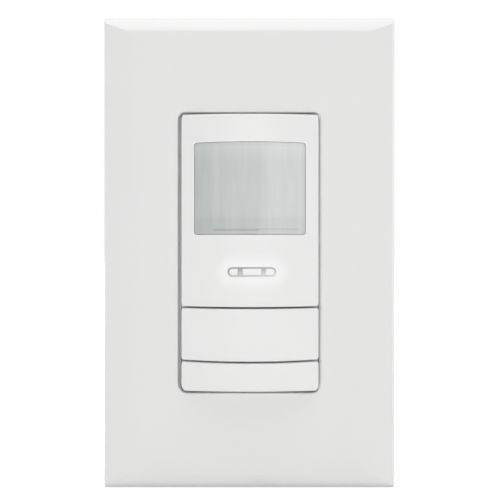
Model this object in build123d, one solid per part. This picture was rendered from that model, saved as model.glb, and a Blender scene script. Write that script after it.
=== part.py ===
from build123d import *
import os
from math import asin, cos, sin

# Motion sensor light switch in a screwless wall plate, in millimetres.
# The wall is the plane Y = 0, the front faces -Y and Z is up. A height is a distance in front
# of the wall, and a negative height lies behind it, in the wall box.
# The origin is the middle of the two screws that hold the device in its wall box.

# The device's front: a face that is round across its width. The housing in the wall, the strap,
# the subframe and the plate take their width and height from it.
device_width = 32.5
device_height = 66.0
face_crown = 10.1
face_bow = 3.4
face_wall = 1.8
side_wall = 1.6
edge_round = 0.45
end_slant = 0.8
device_top_radius = 1.5
device_bottom_radius = 2.0
seam_radius = 0.7
cavity_radius = 0.6
seam_gap = 0.4
upper_seam_share = -0.1947
lower_seam_share = -0.3864
deck_thick = 1.6
boss_radius = 2.3
pilot_radius = 1.3
pilot_end = 5.2

# How far each piece reaches past the one before it, at the sides and at the ends.
housing_side_reach = 5.1
housing_end_reach = 2.5
strap_side_sink = 0.6
box_screw_reach = 6.17
plate_screw_reach = 6.75
strap_end_reach = 4.78
subframe_side_reach = 11.05
subframe_end_reach = 1.4
plate_side_reach = 2.525
plate_end_reach = 2.15

# Clip-on cover of the wall plate.
plate_wall = 1.8
plate_crown = 6.3
side_rise = 3.4
side_edge = 0.9
side_shoulder = 4.8
side_bulge = 0.22
side_fade = 10.0
end_rise = 2.6
end_edge = 4.1
end_shoulder = 6.0
end_bulge = 0.4
end_fade = 8.0
hollow_side_rise = 3.2
hollow_side_slant = 8.2
hollow_end_rise = 2.8
hollow_end_slant = 3.2
opening_side_gap = 0.68
opening_end_gap = 0.3
opening_top_radius = 1.7
opening_bottom_radius = 2.2
collar_wall = 1.2
collar_low = 3.7
rib_width = 3.0
rib_low = 0.4
rib_high = 2.7
rib_clearance = 0.15
side_rib_z = 30.0
end_rib_x = 21.0
pry_width = 8.0
pry_height = 1.2
pry_depth = 0.9
cover_play = 0.15

# Mounting strap, of steel sheet.
strap_thick = 1.2
strap_corner = 2.0
ear_width = 25.0
ear_corner = 4.0
strap_window_edge = 3.2
strap_window_low_gap = 0.55
strap_window_high_gap = 3.0
strap_window_corner = 1.5
box_slot_length = 6.2
box_slot_width = 4.2
ground_tab_depth = 9.4
ground_tab_width = 9.0
ground_tab_gap = 0.5

# Screws with the common wall box thread.
thread_radius = 1.75
neck_radius = 1.45
neck_length = 0.1
box_screw_length = 20.0
box_head_radius = 3.3
box_head_height = 1.9
head_chamfer = 0.6
slot_width = 0.9
slot_depth = 0.9
screw_clearance = 0.1
plate_screw_length = 7.0
plate_head_radius = 2.9
plate_head_taper = 1.1
ground_head_radius = 3.6
ground_head_height = 2.4
ground_screw_length = 6.5

# Subframe that is screwed to the strap and carries the cover.
subframe_thick = 1.6
subframe_corner = 1.2
subframe_rim = 1.3
subframe_rim_low = 0.5
subframe_clearance = 0.45
head_clearance = 0.3
web_width = 2.4
web_rise = 0.7

# Lens and the frame that clamps it from behind.
lens_side = 3.15
lens_bottom_share = 0.0629
lens_boss_gap = 0.3
lens_corner = 0.7
lens_gap = 0.12
lens_recess = 0.25
lens_wall = 0.6
lens_flange = 1.0
lens_flange_thick = 0.7
lens_columns = 7
seat_clearance = 0.05
retainer_thick = 1.2
retainer_lip = 0.6

# Indicator slot with three light windows between two ribs.
slot_share = -0.0682
slot_x = 0.45
indicator_length = 11.3
indicator_width = 2.25
indicator_depth = 0.9
indicator_ledge = 0.3
indicator_rib = 1.0
indicator_rib_x = 2.75
pipe_clearance = 0.06
pipe_sink = 0.3
pipe_flange = 1.0
pipe_flange_thick = 1.0
pipe_air = 0.3

# Push buttons, hinged near their upper edges.
cap_wall = 1.5
cap_side = 1.2
skirt_low = 3.5
hinge_height = 5.0
hinge_drop = 1.5
upper_switch_rise = 3.8
pin_radius = 0.9
pin_clearance = 0.05
hinge_boss_radius = 1.4
hinge_boss_side = 6.95
hinge_boss_thick = 1.8
ear_gap = 0.3
hinge_ear_thick = 1.4
hinge_ear_radius = 1.4
notch_clearance = 0.25
contact_height = 3.3
contact_width = 2.6
contact_thick = 0.8

# Control board behind the strap.
control_side_gap = 1.05
control_front = -3.0
board_thick = 1.6
board_corner = 1.0
board_clearance = 0.15

# Pieces on the control board.
tact_size = 4.5
tact_height = 3.2
tact_round = 0.3
plunger_radius = 1.25
plunger_clearance = 0.06
plunger_travel = 0.25
plunger_foot = 0.8
plunger_spare = 0.2
contact_gap = 0.08
plunger_hole_gap = 0.35
pyro_flange_radius = 4.6
pyro_flange_thick = 0.5
pyro_can_radius = 4.1
pyro_height = 4.2
pyro_chamfer = 0.4
pyro_window_width = 4.2
pyro_window_height = 3.4
pyro_window_depth = 0.4
pyro_window_gap = 0.05
led_x = 4.35
led_width = 1.6
led_length = 2.2
led_height = 0.8
sensor_chip_width = 2.8
chip_width = 7.5
chip_end_gap = 1.7
chip_height = 2.1
chip_notch_radius = 0.8
chip_notch_depth = 0.3

# Power board and the header between the two boards.
power_front_share = 0.387
header_width = 15.2
header_height = 5.0
header_share = -0.2887

# Parts behind the power board: widths, heights and places are shares of the rear housing's,
# and depths are shares of the room behind the board.
relay_width_share = 0.356
relay_height_share = 0.2563
relay_depth_share = 0.96
relay_x_share = 0.1311
relay_z_share = -0.3366
relay_chamfer = 0.5
film_width_share = 0.2693
film_height_share = 0.1831
film_depth_share = 0.673
film_x_share = -0.2436
film_z_share = -0.338
film_chamfer = 0.5
large_can_share = 0.1171
large_can_x_share = -0.1077
large_can_z_share = 0.293
small_can_share = 0.0937
small_can_x_share = -0.3419
small_can_z_share = 0.2394
can_height_share = 0.8
can_groove_height = 1.6
can_groove_width = 0.8
can_groove_depth = 0.4
can_chamfer = 0.5
varistor_share = 0.295
varistor_thick = 4.0
varistor_z_share = 0.4141
varistor_leg = 1.6
leg_width = 0.9
leg_spacing = 5.0
varistor_chamfer = 1.1
fuse_share = 0.0984
fuse_height_share = 0.5
fuse_x_share = 0.1311
fuse_z_share = 0.1211
fuse_chamfer = 0.6
choke_share = 0.0913
choke_core_share = 0.0703
choke_flange = 1.4
choke_height_share = 0.577
choke_x_share = 0.0843
choke_z_share = -0.0648
bridge_size = 4.4
bridge_length = 6.4
bridge_depth = 2.6
bridge_x_share = -0.1546
bridge_z_share = 0.0423

# Rear housing.
rear_depth = 31.0
rear_wall = 1.8
rear_corner = 2.6
rear_round = 1.4
rear_step = 0.5
rear_step_height = 6.0
column_side = 4.45
column_end = 3.6
column_rise = 3.35
column_neck_radius = 2.7
column_radius = 3.4
column_base_radius = 4.1
screw_seat = -8.0
case_head_radius = 2.1
case_head_height = 1.5
case_head_bore = 2.35
case_shank_radius = 1.25
case_shank_bore = 1.4
case_screw_end = 4.8

# Wire terminals in bays at the sides of the rear housing.
terminal_share = 0.0423
terminal_pitch_share = 0.2113
bay_depth = 6.0
bay_height = 9.5
bay_front_gap = 3.0
bay_back_wall = 3.4
bay_wall = 1.4
tongue_width = 6.4
tongue_thick = 1.0
tongue_end_gap = 0.8
clamp_gap = 2.0
clamp_thick = 1.0
clamp_height = 8.2
clamp_share = 0.69
terminal_head_share = 0.3
terminal_head_height = 2.2
terminal_tip = 0.6
wire_hole_radius = 1.2
wire_hole_offset = 3.0

# Length by which a cutting body runs past the surface that it cuts.
overrun = 1.0

# Widths and heights that follow from the device's.
rear_width = device_width + 2 * housing_side_reach
rear_height = device_height + 2 * housing_end_reach
strap_width = rear_width - 2 * strap_side_sink
ground_tab_z = -rear_height / 2 - ground_tab_gap - ground_tab_width / 2
box_screw_spacing = rear_height + 2 * box_screw_reach
plate_screw_spacing = box_screw_spacing + 2 * plate_screw_reach
strap_length = plate_screw_spacing + 2 * strap_end_reach
subframe_width = rear_width + 2 * subframe_side_reach
subframe_height = strap_length + 2 * subframe_end_reach
plate_width = subframe_width + 2 * plate_side_reach
plate_height = subframe_height + 2 * plate_end_reach
plate_opening_width = device_width + 2 * opening_side_gap
plate_opening_height = device_height + 2 * opening_end_gap

# Places on the device's front.
device_top = device_height / 2
device_bottom = -device_height / 2
face_radius = ((device_width / 2) ** 2 + face_bow ** 2) / (2 * face_bow)
strap_front = strap_thick
deck_top = strap_front + deck_thick
hood_bottom = upper_seam_share * device_height + seam_gap / 2
upper_top = upper_seam_share * device_height - seam_gap / 2
upper_bottom = lower_seam_share * device_height + seam_gap / 2
lower_top = lower_seam_share * device_height - seam_gap / 2
slot_z = slot_share * device_height
upper_hinge_z = upper_top - hinge_drop
lower_hinge_z = lower_top - hinge_drop
upper_switch_z = upper_bottom + upper_switch_rise
lower_switch_z = device_bottom + tact_size / 2
hinge_boss_x = device_width / 2 - hinge_boss_side
column_x = device_width / 2 - column_side
column_top_z = device_top - column_end
column_low_z = hood_bottom + column_rise
columns = [(side * column_x, z) for z in (column_top_z, column_low_z) for side in (-1, 1)]
lens_width = device_width - 2 * lens_side
lens_bottom = lens_bottom_share * device_height
lens_top = column_top_z - boss_radius - lens_flange - lens_boss_gap
lens_height = lens_top - lens_bottom
lens_z = (lens_top + lens_bottom) / 2
lens_seat = face_wall + seat_clearance

# Places behind the wall.
board_inset = rear_wall + rear_step + board_clearance
board_height = rear_height - 2 * board_inset
power_width = rear_width - 2 * board_inset
control_width = device_width - 2 * control_side_gap
control_rear = control_front - board_thick
tact_top = control_front + tact_height
chip_top = slot_z - led_length / 2 - chip_end_gap
chip_bottom = upper_switch_z + tact_size / 2 + chip_end_gap
power_front = -power_front_share * rear_depth
power_rear = power_front - board_thick
rear_room = rear_depth - rear_wall + power_rear
bay_floor = rear_width / 2 - bay_depth
bay_front = power_rear - bay_front_gap
bay_back = bay_back_wall - rear_depth
screw_z = (bay_front + bay_back) / 2
clamp_width = clamp_share * (bay_front - bay_back)
terminal_head_radius = terminal_head_share * (bay_front - bay_back)
terminal_z = terminal_share * rear_height
terminal_pitch = terminal_pitch_share * rear_height
terminals = [(1, terminal_z), (1, terminal_z + terminal_pitch), (-1, terminal_z)]

# Sketch planes: x with height, and z with height.
plan = Plane(origin=(0, 0, 0), x_dir=(1, 0, 0), z_dir=(0, 0, -1))
profile = Plane(origin=(0, 0, 0), x_dir=(0, 0, 1), z_dir=(1, 0, 0))


def slab(sketch, low, high):
    """Solid between two heights, from a sketch in x and z."""
    return extrude(Plane.XZ.offset(low) * sketch, high - low)


def block(x, z, width, height, low, high):
    """Square block between two heights, centred at x and z."""
    return slab(Pos(x, z) * Rectangle(width, height), low, high)


def pin(x, z, radius, low, high):
    """Round pin square to the wall, between two heights."""
    return slab(Pos(x, z) * Circle(radius), low, high)


def cross_pin(z, height, radius, start, end):
    """Round pin along the width, between two places in x."""
    return Pos((start + end) / 2, -height, z) * Rot(0, 90, 0) * Cylinder(radius, abs(end - start))


def panel(width, bottom, top, bottom_radius, top_radius):
    """Upright rectangle in x and z with a corner radius of its own at each end."""
    sheet = Pos(0, (bottom + top) / 2) * Rectangle(width, top - bottom)
    sheet = fillet(sheet.vertices().group_by(Axis.Y)[0], bottom_radius)
    return fillet(sheet.vertices().group_by(Axis.Y)[-1], top_radius)


def most_forward(body):
    """Face of a body that lies farthest in front of the wall."""
    return body.faces().sort_by(Axis.Y)[0]


def most_rearward(body):
    """Face of a body that lies deepest in the wall box."""
    return body.faces().sort_by(Axis.Y)[-1]


def face_form(depth):
    """Round form of the device's front, or of a surface that lies a depth under it."""
    return Pos(0, face_radius - face_crown, 0) * Cylinder(face_radius - depth, plate_height)


def end_form():
    """Form that slants the device's top and bottom ends, in front of the plate."""
    crest = (device_top - end_slant, face_crown)
    points = [(0, 0), (device_top, 0), (device_top, skirt_low), crest, (0, face_crown)]
    half = make_face(Polyline(points, close=True))
    return extrude(profile * (half + mirror(half, Plane.YZ)), device_width, both=True)


def rolled_section(half, rise, edge, shoulder, bulge, fade):
    """Section of a panel with rounded edges that fade into a flat face."""
    neck = (half - edge, shoulder)
    flat = (half - fade, plate_crown)
    side = Line((half, 0), (half, rise)) + SagittaArc((half, rise), neck, -bulge)
    side += TangentArc(flat, neck, tangent=(1, 0))
    rest = Line((-half, 0), (half, 0)) + Line(flat, (-flat[0], plate_crown))
    return make_face(side + mirror(side, Plane.YZ) + rest)


def hollow_section(half, rise, slant):
    """Section of the hollow under a panel: straight sides, and a slant up to a flat ceiling."""
    points = [(half, -overrun), (half, rise), (half - slant, plate_crown - plate_wall)]
    points += [(-x, height) for x, height in reversed(points)]
    return make_face(Polyline(points, close=True))


def crossed(across, along):
    """Body that has one section across its width and another along its height."""
    return extrude(plan * across, plate_height, both=True) & extrude(profile * along, plate_width, both=True)


def cover_form():
    """Outer form of the cover: gentle sides, steeper ends, and mitres at the corners."""
    across = rolled_section(plate_width / 2, side_rise, side_edge, side_shoulder, side_bulge, side_fade)
    along = rolled_section(plate_height / 2, end_rise, end_edge, end_shoulder, end_bulge, end_fade)
    return crossed(across, along)


def cover_hollow():
    """Hollow of the cover, a wall thickness inside its form."""
    across = hollow_section(plate_width / 2 - plate_wall, hollow_side_rise, hollow_side_slant)
    along = hollow_section(plate_height / 2 - plate_wall, hollow_end_rise, hollow_end_slant)
    return crossed(across, along)


def wall_plate_cover():
    """Moulded cover with rolled edges, an opening with a collar, and grip ribs inside."""
    outer = cover_form()
    cover = outer - cover_hollow()
    top = plate_opening_height / 2
    rim = panel(plate_opening_width, -top, top, opening_bottom_radius, opening_top_radius)
    collar = offset(rim, collar_wall)
    cover += slab(collar, collar_low, plate_crown) & outer
    grip_x = subframe_width / 2 + cover_play + rib_clearance
    grip_z = subframe_height / 2 + rib_clearance
    wall_x = (plate_width - plate_wall) / 2
    wall_z = (plate_height - plate_wall) / 2
    for side in (-1, 1):
        for end in (-1, 1):
            middle_x = side * (grip_x + wall_x) / 2
            cover += block(middle_x, end * side_rib_z, wall_x - grip_x, rib_width, rib_low, rib_high)
            middle_z = end * (grip_z + wall_z) / 2
            cover += block(side * end_rib_x, middle_z, rib_width, wall_z - grip_z, rib_low, rib_high)
    cover -= slab(rim, 0, plate_crown + overrun)
    pry_z = -plate_height / 2
    cover -= block(0, pry_z, pry_width, 2 * pry_depth, rib_low, pry_height)
    return Pos(-cover_play, 0, 0) * cover


def plate_subframe():
    """Flat frame on the strap, with a rim, stiffening webs and holes for the screws."""
    half = subframe_height / 2
    outline = RectangleRounded(subframe_width, subframe_height, subframe_corner)
    inner_width = subframe_width - 2 * subframe_rim
    inner_height = subframe_height - 2 * subframe_rim
    frame = slab(outline, strap_front, strap_front + subframe_thick)
    skirt = slab(outline, subframe_rim_low, strap_front)
    frame += skirt - block(0, 0, inner_width, inner_height, 0, strap_front)
    top = strap_front + subframe_thick
    opening_width = device_width + 2 * subframe_clearance
    opening_height = device_height + 2 * subframe_clearance
    web_x = (opening_width + inner_width) / 4
    for side in (-1, 1):
        frame += block(side * web_x, 0, web_width, opening_height, strap_front, top + web_rise)
    frame -= block(0, 0, opening_width, opening_height, 0, top + web_rise + overrun)
    notch_radius = box_head_radius + head_clearance
    for end in (-1, 1):
        screw = end * box_screw_spacing / 2
        frame -= pin(0, screw, notch_radius, 0, top + overrun)
        frame -= block(0, screw / 2, 2 * notch_radius, abs(screw), 0, top + overrun)
        place = Plane.XZ.offset(top) * Pos(0, end * plate_screw_spacing / 2)
        frame -= pin(0, end * plate_screw_spacing / 2, thread_radius + screw_clearance, 0, top)
        sink = Cone(plate_head_radius + screw_clearance, thread_radius + screw_clearance, plate_head_taper)
        frame -= place * Pos(0, 0, -plate_head_taper / 2) * Rot(180, 0, 0) * sink
    return frame


def slotted(body, x, z, top, radius):
    """A screw with a straight driver slot cut into its head, at the given height."""
    return body - block(x, z, slot_width, 2 * radius, top - slot_depth, top + overrun)


def subframe_screws():
    """Two countersunk screws that hold the subframe to the strap."""
    screws = []
    top = strap_front + subframe_thick
    for end in (-1, 1):
        z = end * plate_screw_spacing / 2
        place = Plane.XZ.offset(top) * Pos(0, z)
        head = place * Pos(0, 0, -plate_head_taper / 2) * Rot(180, 0, 0)
        head *= Cone(plate_head_radius, thread_radius, plate_head_taper)
        screw = head + pin(0, z, thread_radius, top - plate_screw_length, top - plate_head_taper)
        screws.append(slotted(screw, 0, z, top, plate_head_radius))
    return screws


def mounting_strap():
    """Steel strap with ears, a window, slots for the box screws and a bent ground tab."""
    body = RectangleRounded(strap_width, rear_height, strap_corner)
    ears = RectangleRounded(ear_width, strap_length, ear_corner)
    sheet = body + ears
    window_width = 2 * (column_x - strap_window_edge)
    window_bottom = device_bottom - strap_window_low_gap
    window_top = column_top_z - strap_window_high_gap
    window = RectangleRounded(window_width, window_top - window_bottom, strap_window_corner)
    sheet -= Pos(0, (window_top + window_bottom) / 2) * window
    for end in (-1, 1):
        sheet -= Pos(0, end * box_screw_spacing / 2) * SlotOverall(box_slot_length, box_slot_width)
        sheet -= Pos(0, end * plate_screw_spacing / 2) * Circle(thread_radius + screw_clearance)
    for x, z in columns:
        sheet -= Pos(x, z) * Circle(case_shank_bore)
    strap = slab(sheet, 0, strap_front)
    tab_x = (strap_thick - ear_width) / 2
    strap += block(tab_x, ground_tab_z, strap_thick, ground_tab_width, -ground_tab_depth, strap_front)
    bore = thread_radius + screw_clearance
    hole = cross_pin(ground_tab_z, -ground_tab_depth / 2, bore, -ear_width, 0)
    return strap - hole


def box_screws():
    """Two long screws into the wall box, with a thin neck where they pass the strap."""
    screws = []
    for end in (-1, 1):
        z = end * box_screw_spacing / 2
        top = strap_front + box_head_height
        head = pin(0, z, box_head_radius, strap_front, top)
        head = chamfer(most_forward(head).edges(), head_chamfer)
        screw = head + pin(0, z, neck_radius, -neck_length, strap_front)
        screw += pin(0, z, thread_radius, -box_screw_length, -neck_length)
        screws.append(slotted(screw, 0, z, top, box_head_radius))
    return screws


def ground_screw():
    """Screw for the ground wire, in the bent tab of the strap."""
    seat = -ear_width / 2
    axis = -ground_tab_depth / 2
    outer = seat - ground_head_height
    head = cross_pin(ground_tab_z, axis, ground_head_radius, outer, seat)
    head = chamfer(head.faces().sort_by(Axis.X)[0].edges(), head_chamfer)
    screw = head + cross_pin(ground_tab_z, axis, thread_radius, seat, seat + ground_screw_length)
    cut = Box(2 * slot_depth, slot_width, 3 * ground_head_radius)
    return screw - Pos(outer, -axis, ground_tab_z) * cut


def indicator_outline(inset):
    """Long round outline of the indicator slot, drawn in by an inset."""
    return Pos(slot_x, slot_z) * SlotOverall(indicator_length - 2 * inset, indicator_width - 2 * inset)


def front_housing():
    """Moulded front: round face, lens window, indicator slot, button deck and hinges."""
    outline = panel(device_width, hood_bottom, device_top, seam_radius, device_top_radius)
    hood = slab(outline, strap_front, face_crown) & face_form(0) & end_form()
    hood = fillet(most_forward(hood).edges(), edge_round)
    inner_width = device_width - 2 * side_wall
    hollow_bottom = hood_bottom + side_wall
    hollow = panel(inner_width, hollow_bottom, device_top - side_wall, cavity_radius, cavity_radius)
    hood -= slab(hollow, 0, face_crown) & face_form(face_wall)
    deck = panel(device_width, device_bottom, hood_bottom + side_wall, device_bottom_radius, seam_radius)
    hood += slab(deck, strap_front, deck_top)
    for x, z in columns:
        hood += pin(x, z, boss_radius, strap_front, face_crown) & face_form(face_wall / 2)
    for x, z in columns:
        hood -= pin(x, z, pilot_radius, 0, pilot_end)
    window = Pos(0, lens_z) * RectangleRounded(lens_width, lens_height, lens_corner)
    hood -= slab(window, pilot_end, face_crown + overrun)
    floor = face_crown - indicator_depth
    hood -= slab(indicator_outline(0), floor, face_crown + overrun)
    lights = indicator_outline(indicator_ledge)
    for side in (-1, 1):
        lights -= Pos(slot_x + side * indicator_rib_x, slot_z) * Rectangle(indicator_rib, indicator_width)
    hood -= slab(lights, pilot_end, floor + overrun)
    for z in (upper_switch_z, lower_switch_z):
        hood -= pin(0, z, plunger_radius + plunger_hole_gap, 0, deck_top + overrun)
    boss_x = hinge_boss_x + hinge_boss_thick / 2
    for z in (upper_hinge_z, lower_hinge_z):
        for side in (-1, 1):
            outer = side * (hinge_boss_x + hinge_boss_thick)
            inner = side * hinge_boss_x
            width = 2 * hinge_boss_radius
            hood += block(side * boss_x, z, hinge_boss_thick, width, strap_front, hinge_height)
            hood += cross_pin(z, hinge_height, hinge_boss_radius, inner, outer)
            hood -= cross_pin(z, hinge_height, pin_radius + pin_clearance, 0, outer + side * ear_gap)
    return hood


def lens_facets(radius):
    """Section of the lens's inner side: flat columns on a circle, closed towards the rear."""
    half_angle = asin(lens_width / 2 / radius)
    points = []
    for column in range(lens_columns + 1):
        angle = half_angle * (2 * column / lens_columns - 1)
        points.append((radius * sin(angle), radius * cos(angle) - radius + face_crown))
    shift = face_radius - radius
    points = [(x, height - shift) for x, height in points]
    points += [(lens_width / 2, 0), (-lens_width / 2, 0)]
    return make_face(Polyline(points, close=True))


def fresnel_lens():
    """Thin milky lens, hat shaped, with flat columns on its inner side."""
    width = lens_width - 2 * lens_gap
    height = lens_height - 2 * lens_gap
    crown = Pos(0, lens_z) * RectangleRounded(width, height, lens_corner - lens_gap)
    lens = slab(crown, 0, face_crown) & face_form(lens_recess)
    rim_width = lens_width + 2 * lens_flange
    rim_height = lens_height + 2 * lens_flange
    rim = Pos(0, lens_z) * RectangleRounded(rim_width, rim_height, lens_corner)
    lens += slab(rim, 0, face_crown) & face_form(lens_seat)
    back = face_form(lens_seat + lens_flange_thick)
    under_rim = slab(rim, -overrun, face_crown) & back
    lens -= under_rim
    facets = extrude(plan * lens_facets(face_radius - lens_recess - lens_wall), plate_height, both=True)
    wall = lens_wall + lens_gap
    bore = Pos(0, lens_z) * Rectangle(lens_width - 2 * wall, lens_height - 2 * wall)
    return lens - (slab(bore, -overrun, face_crown) & facets)


def lens_retainer():
    """Frame that clamps the flange of the lens from behind."""
    outer_width = lens_width + 2 * lens_flange
    outer_height = lens_height + 2 * lens_flange
    ring = Pos(0, lens_z) * RectangleRounded(outer_width, outer_height, lens_corner)
    inner_width = lens_width - 2 * retainer_lip
    inner_height = lens_height - 2 * retainer_lip
    ring -= Pos(0, lens_z) * RectangleRounded(inner_width, inner_height, lens_corner)
    seat = lens_seat + lens_flange_thick
    frame = slab(ring, 0, face_crown) & face_form(seat)
    return frame - face_form(seat + retainer_thick)


def light_pipe():
    """Clear piece: a flange behind the face, and a prong for each window of the slot."""
    tops = indicator_outline(indicator_ledge + pipe_clearance)
    for side in (-1, 1):
        rib = indicator_rib + 2 * pipe_clearance
        tops -= Pos(slot_x + side * indicator_rib_x, slot_z) * Rectangle(rib, indicator_width)
    foot = control_front + led_height + pipe_air
    flange_front = face_wall + seat_clearance
    flange = slab(offset(indicator_outline(0), pipe_flange), 0, face_crown) & face_form(flange_front)
    flange -= face_form(flange_front + pipe_flange_thick)
    return flange + slab(tops, foot, face_crown - indicator_depth - pipe_sink)


def button(bottom, top, bottom_radius, hinge_z, switch_z):
    """Button cap with a skirt, hinge ears with pins, and a post over its switch."""
    outline = panel(device_width, bottom, top, bottom_radius, seam_radius)
    cap = slab(outline, skirt_low, face_crown) & face_form(0) & end_form()
    cap = fillet(most_forward(cap).edges(), edge_round)
    inner_width = device_width - 2 * cap_side
    hollow = panel(inner_width, bottom + cap_side, top - cap_side, cavity_radius, cavity_radius)
    cap -= slab(hollow, 0, face_crown) & face_form(cap_wall)
    post = block(0, switch_z, contact_width, contact_thick, contact_height, face_crown)
    cap += post & face_form(cap_wall / 2)
    notch_bottom = hinge_z - hinge_boss_radius - notch_clearance
    notch_top = top + overrun
    notch_z = (notch_top + notch_bottom) / 2
    notch_width = hinge_boss_thick + 2 * notch_clearance
    notch_end = hinge_height + hinge_boss_radius + notch_clearance
    ear_start = hinge_boss_x + hinge_boss_thick + ear_gap
    ear_end = ear_start + hinge_ear_thick
    ear_height = 2 * hinge_ear_radius
    for side in (-1, 1):
        notch_x = side * (hinge_boss_x + hinge_boss_thick / 2)
        cap -= block(notch_x, notch_z, notch_width, notch_top - notch_bottom, 0, notch_end)
        ear_x = side * (ear_start + ear_end) / 2
        ear = block(ear_x, hinge_z, hinge_ear_thick, ear_height, hinge_height, face_crown)
        cap += ear & face_form(cap_wall / 2)
        cap += cross_pin(hinge_z, hinge_height, hinge_ear_radius, side * ear_start, side * ear_end)
        cap += cross_pin(hinge_z, hinge_height, pin_radius, side * hinge_boss_x, side * ear_end)
    return cap


def upper_button():
    """The taller button."""
    return button(upper_bottom, upper_top, seam_radius, upper_hinge_z, upper_switch_z)


def lower_button():
    """The lower button, with the device's round bottom corners."""
    return button(device_bottom, lower_top, device_bottom_radius, lower_hinge_z, lower_switch_z)


def circuit_board(width, front, hole_radius):
    """Circuit board with a hole for each column of the rear housing."""
    sheet = RectangleRounded(width, board_height, board_corner)
    for x, z in columns:
        sheet -= Pos(x, z) * Circle(hole_radius + board_clearance)
    return slab(sheet, front - board_thick, front)


def control_board():
    """Board that carries the sensor, the lights and the switches."""
    return circuit_board(control_width, control_front, column_neck_radius)


def power_board():
    """Board that carries the relay and the mains parts."""
    return circuit_board(power_width, power_front, column_radius)


def tact_switch_bodies():
    """Two small square switches, each with a bore for its plunger."""
    bodies = []
    for z in (upper_switch_z, lower_switch_z):
        body = block(0, z, tact_size, tact_size, control_front, tact_top)
        body = fillet(body.edges().filter_by(Axis.Y), tact_round)
        depth = plunger_foot + plunger_travel + plunger_spare
        bodies.append(body - pin(0, z, plunger_radius + plunger_clearance, tact_top - depth, tact_top))
    return bodies


def plunger(z):
    """Round plunger of a switch, up to just under the post of its button."""
    return pin(0, z, plunger_radius, tact_top - plunger_foot, contact_height - contact_gap)


def pyro_sensor():
    """Metal can of the heat sensor, with a flange and a window in its front."""
    z = lens_z
    flange_top = control_front + pyro_flange_thick
    top = control_front + pyro_height
    can = pin(0, z, pyro_can_radius, control_front, top)
    can = chamfer(most_forward(can).edges(), pyro_chamfer)
    can += pin(0, z, pyro_flange_radius, control_front, flange_top)
    return can - block(0, z, pyro_window_width, pyro_window_height, top - pyro_window_depth, top + overrun)


def pyro_filter():
    """Dark filter plate in the window of the sensor can."""
    top = control_front + pyro_height
    width = pyro_window_width - 2 * pyro_window_gap
    height = pyro_window_height - 2 * pyro_window_gap
    return block(0, lens_z, width, height, top - pyro_window_depth, top - pyro_window_gap)


def indicator_leds():
    """Two light emitting diodes under the outer prongs of the light pipe."""
    top = control_front + led_height
    places = [slot_x - led_x, slot_x + led_x]
    return [block(x, slot_z, led_width, led_length, control_front, top) for x in places]


def light_sensor():
    """Chip that measures the daylight through the middle prong."""
    return block(slot_x, slot_z, sensor_chip_width, led_length, control_front, control_front + led_height)


def microcontroller():
    """Control chip, with the round mark that shows its first leg."""
    top = control_front + chip_height
    chip = block(0, (chip_top + chip_bottom) / 2, chip_width, chip_top - chip_bottom, control_front, top)
    mark_z = chip_top - 2 * chip_notch_radius
    mark_x = chip_notch_radius - chip_width / 4
    return chip - pin(mark_x, mark_z, chip_notch_radius, top - chip_notch_depth, top)


def board_header():
    """Header that joins and spaces the two boards."""
    return block(0, header_share * rear_height, header_width, header_height, power_front, control_rear)


def boxed_part(x_share, z_share, width, height, depth, bevel):
    """Box-shaped part on the rear of the power board."""
    x = x_share * rear_width
    z = z_share * rear_height
    part = block(x, z, width, height, power_rear - depth, power_rear)
    return chamfer(most_rearward(part).edges(), bevel)


def relay():
    """Relay that switches the lamp."""
    width = relay_width_share * rear_width
    height = relay_height_share * rear_height
    depth = relay_depth_share * rear_room
    return boxed_part(relay_x_share, relay_z_share, width, height, depth, relay_chamfer)


def film_capacitor():
    """Film capacitor across the mains."""
    width = film_width_share * rear_width
    height = film_height_share * rear_height
    depth = film_depth_share * rear_room
    return boxed_part(film_x_share, film_z_share, width, height, depth, film_chamfer)


def capacitor_can(x_share, z_share, radius_share):
    """Round capacitor with the rolled groove near its foot."""
    x = x_share * rear_width
    z = z_share * rear_height
    radius = radius_share * rear_width
    can = pin(x, z, radius, power_rear - can_height_share * rear_room, power_rear)
    can = chamfer(most_rearward(can).edges(), can_chamfer)
    groove_top = power_rear - can_groove_height
    groove = pin(x, z, radius + overrun, groove_top - can_groove_width, groove_top)
    groove -= pin(x, z, radius - can_groove_depth, groove_top - can_groove_width, groove_top)
    return can - groove


def electrolytic_capacitors():
    """The two round capacitors of the supply."""
    large = capacitor_can(large_can_x_share, large_can_z_share, large_can_share)
    return [large, capacitor_can(small_can_x_share, small_can_z_share, small_can_share)]


def varistor():
    """Disc that takes surges, on two legs."""
    z = varistor_z_share * rear_height
    radius = varistor_share * rear_room
    middle = power_rear - varistor_leg - radius
    disc = chamfer(Cylinder(radius, varistor_thick).edges(), varistor_chamfer)
    body = Pos(0, -middle, z) * disc
    for side in (-1, 1):
        body += block(side * leg_spacing / 2, z, leg_width, leg_width, middle, power_rear)
    return body


def fuse():
    """Small round fuse."""
    x = fuse_x_share * rear_width
    z = fuse_z_share * rear_height
    low = power_rear - fuse_height_share * rear_room
    body = pin(x, z, fuse_share * rear_width, low, power_rear)
    return chamfer(most_rearward(body).edges(), fuse_chamfer)


def choke():
    """Drum-shaped core with its winding between two flanges."""
    x = choke_x_share * rear_width
    z = choke_z_share * rear_height
    radius = choke_share * rear_width
    rear = power_rear - choke_height_share * rear_room
    body = pin(x, z, choke_core_share * rear_width, rear, power_rear)
    body += pin(x, z, radius, power_rear - choke_flange, power_rear)
    return body + pin(x, z, radius, rear, rear + choke_flange)


def rectifier():
    """Rectifier block."""
    x = bridge_x_share * rear_width
    z = bridge_z_share * rear_height
    return block(x, z, bridge_size, bridge_length, power_rear - bridge_depth, power_rear)


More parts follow.
